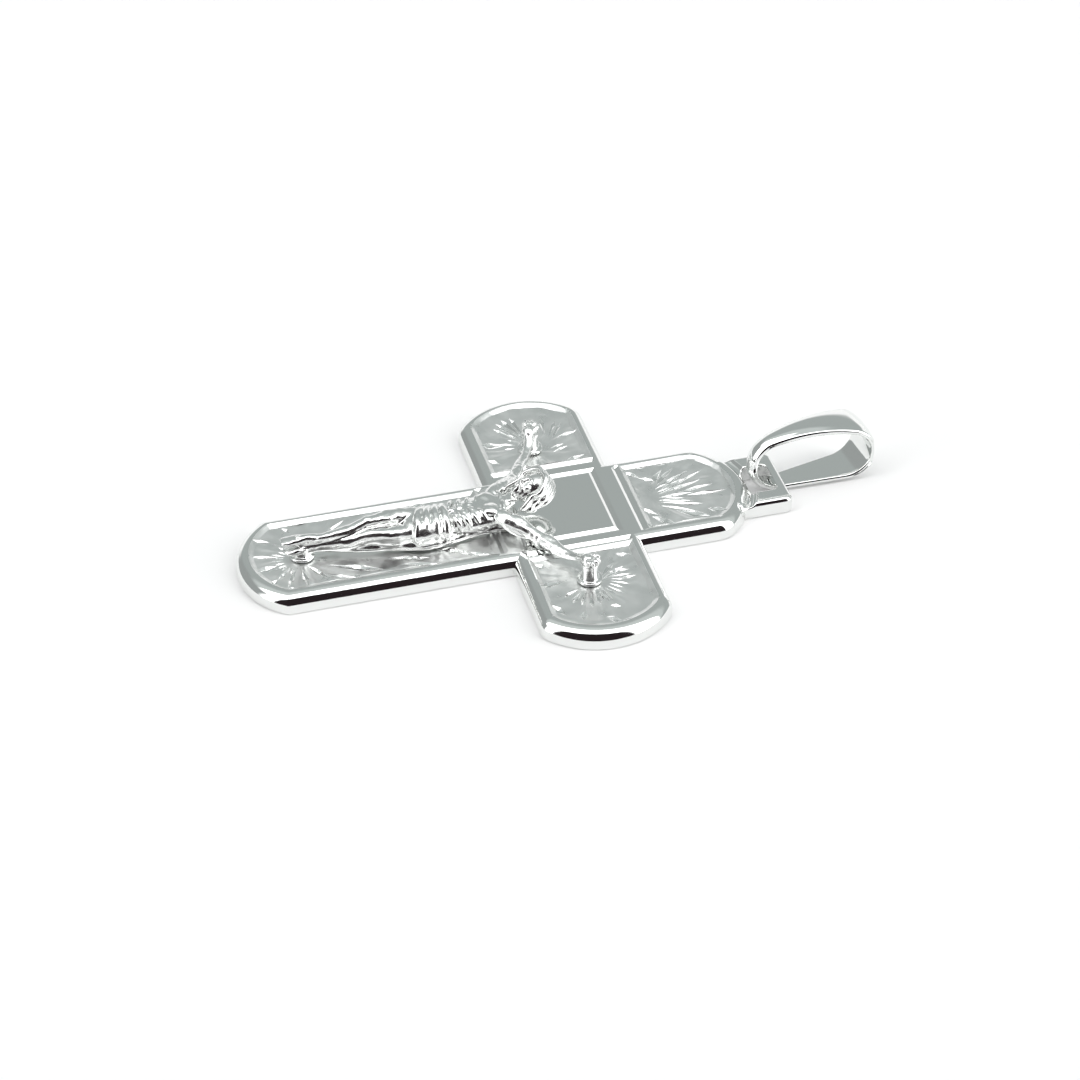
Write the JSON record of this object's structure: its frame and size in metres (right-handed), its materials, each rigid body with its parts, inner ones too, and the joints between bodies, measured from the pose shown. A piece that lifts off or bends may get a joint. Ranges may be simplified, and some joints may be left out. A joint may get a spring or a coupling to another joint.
{
  "type": "crucifix pendant",
  "caption": "Polished silver crucifix pendant with rounded arms, a sunk ray-cut field, a raised cast figure and a loose tapered bail.",
  "frame": {"origin": "centre of the cross's crossing, on the flat back face", "axes": "+X to the viewer's right along the cross bar, +Y up the cross to the bail, +Z out of the front"},
  "size_m": [0.0254, 0.0424, 0.0045],
  "materials": {
    "silver": "polished"
  },
  "bodies": {
    "root": {"cross_plate": "silver", "corpus": "silver"},
    "bail": {"bail": "silver"}
  },
  "joints": [
    {"name": "bail_swing", "type": "hinge", "parent": "root", "child": "bail", "pos_m": [-0.0003, 0.01458, 0.00213], "axis": [0.9945, 0.1045, 0], "range_deg": [-75, 120]}
  ]
}
